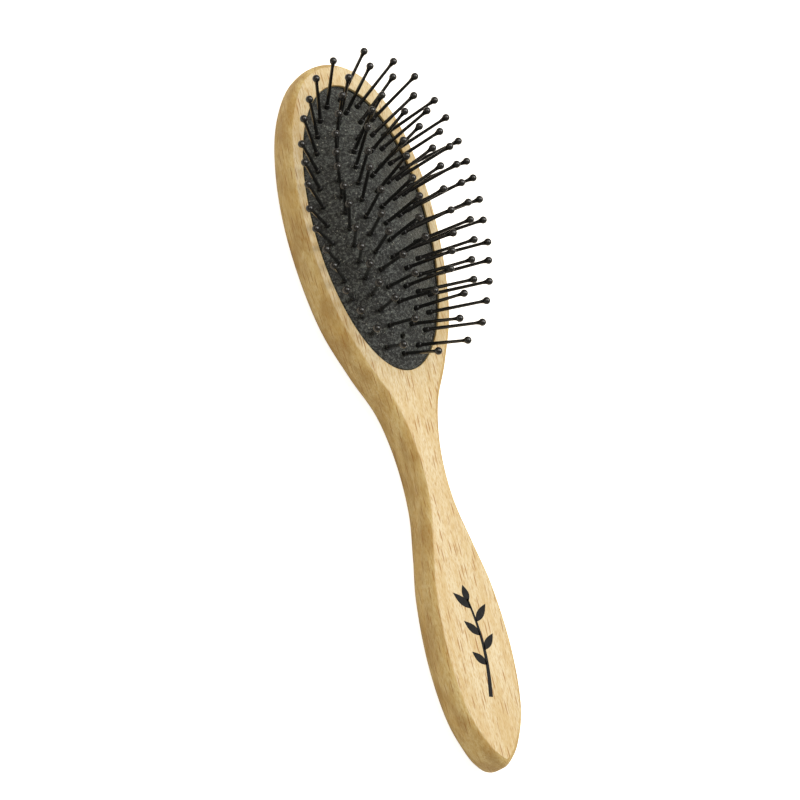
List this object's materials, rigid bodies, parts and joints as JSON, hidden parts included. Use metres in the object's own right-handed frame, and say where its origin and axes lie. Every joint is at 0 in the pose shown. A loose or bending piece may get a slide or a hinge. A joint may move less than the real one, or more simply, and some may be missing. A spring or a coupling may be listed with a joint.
{
  "type": "cushion hair brush",
  "caption": "Oval wooden hair brush with a shaped handle; an arched rubber cushion in its face carries fanned, ball-tipped pins that sink into it together.",
  "frame": {"origin": "middle of the footprint, on the surface that the brush's flat back lies on", "axes": "+Y along the brush from the handle's end to the head's tip, +Z out of the pin side, +X across"},
  "size_m": [0.059, 0.219, 0.0434],
  "materials": {
    "beech": "steamed beech, fine sanded, with a thin satin lacquer",
    "rubber": "black natural rubber with a fine matt grain",
    "pins": "glossy black nylon"
  },
  "bodies": {
    "root": {"brush_body": "beech", "rubber_cushion": "rubber"},
    "centre_pin_group": {"centre_pins": "pins"},
    "inner_pin_group": {"inner_pins_left_1": "pins", "inner_pins_left_2": "pins", "inner_pins_right_1": "pins", "inner_pins_right_2": "pins"},
    "shoulder_pin_group": {"inner_pin_head_end": "pins", "inner_pin_handle_end": "pins", "middle_pins_left_2": "pins", "middle_pins_right_2": "pins"},
    "slope_pin_group": {"middle_pins_left_1": "pins", "middle_pins_left_3": "pins", "middle_pins_right_1": "pins", "middle_pins_right_3": "pins"},
    "rim_pin_group": {"middle_pin_head_end": "pins", "outer_pin_handle_end": "pins", "outer_pin_head_end": "pins", "outer_pins_left_1": "pins", "outer_pins_left_2": "pins", "outer_pins_left_3": "pins", "outer_pins_right_1": "pins", "outer_pins_right_2": "pins", "outer_pins_right_3": "pins"}
  },
  "joints": [
    {"name": "centre_press", "type": "slide", "parent": "root", "child": "centre_pin_group", "axis": [0, 0, -1], "range_m": [0, 0.003], "stiffness_N_per_m": 1500, "deforming": ["rubber_cushion"]},
    {"name": "inner_press", "type": "slide", "parent": "root", "child": "inner_pin_group", "axis": [0, 0, -1], "range_m": [0, 0.00258], "stiffness_N_per_m": 300},
    {"name": "shoulder_press", "type": "slide", "parent": "root", "child": "shoulder_pin_group", "axis": [0, 0, -1], "range_m": [0, 0.00198], "stiffness_N_per_m": 300},
    {"name": "slope_press", "type": "slide", "parent": "root", "child": "slope_pin_group", "axis": [0, 0, -1], "range_m": [0, 0.00156], "stiffness_N_per_m": 300},
    {"name": "rim_press", "type": "slide", "parent": "root", "child": "rim_pin_group", "axis": [0, 0, -1], "range_m": [0, 0.00072], "stiffness_N_per_m": 300}
  ],
  "couplings": [
    {"joint": "inner_press", "follows": "centre_press", "ratio": 0.86},
    {"joint": "shoulder_press", "follows": "centre_press", "ratio": 0.66},
    {"joint": "slope_press", "follows": "centre_press", "ratio": 0.52},
    {"joint": "rim_press", "follows": "centre_press", "ratio": 0.24}
  ]
}
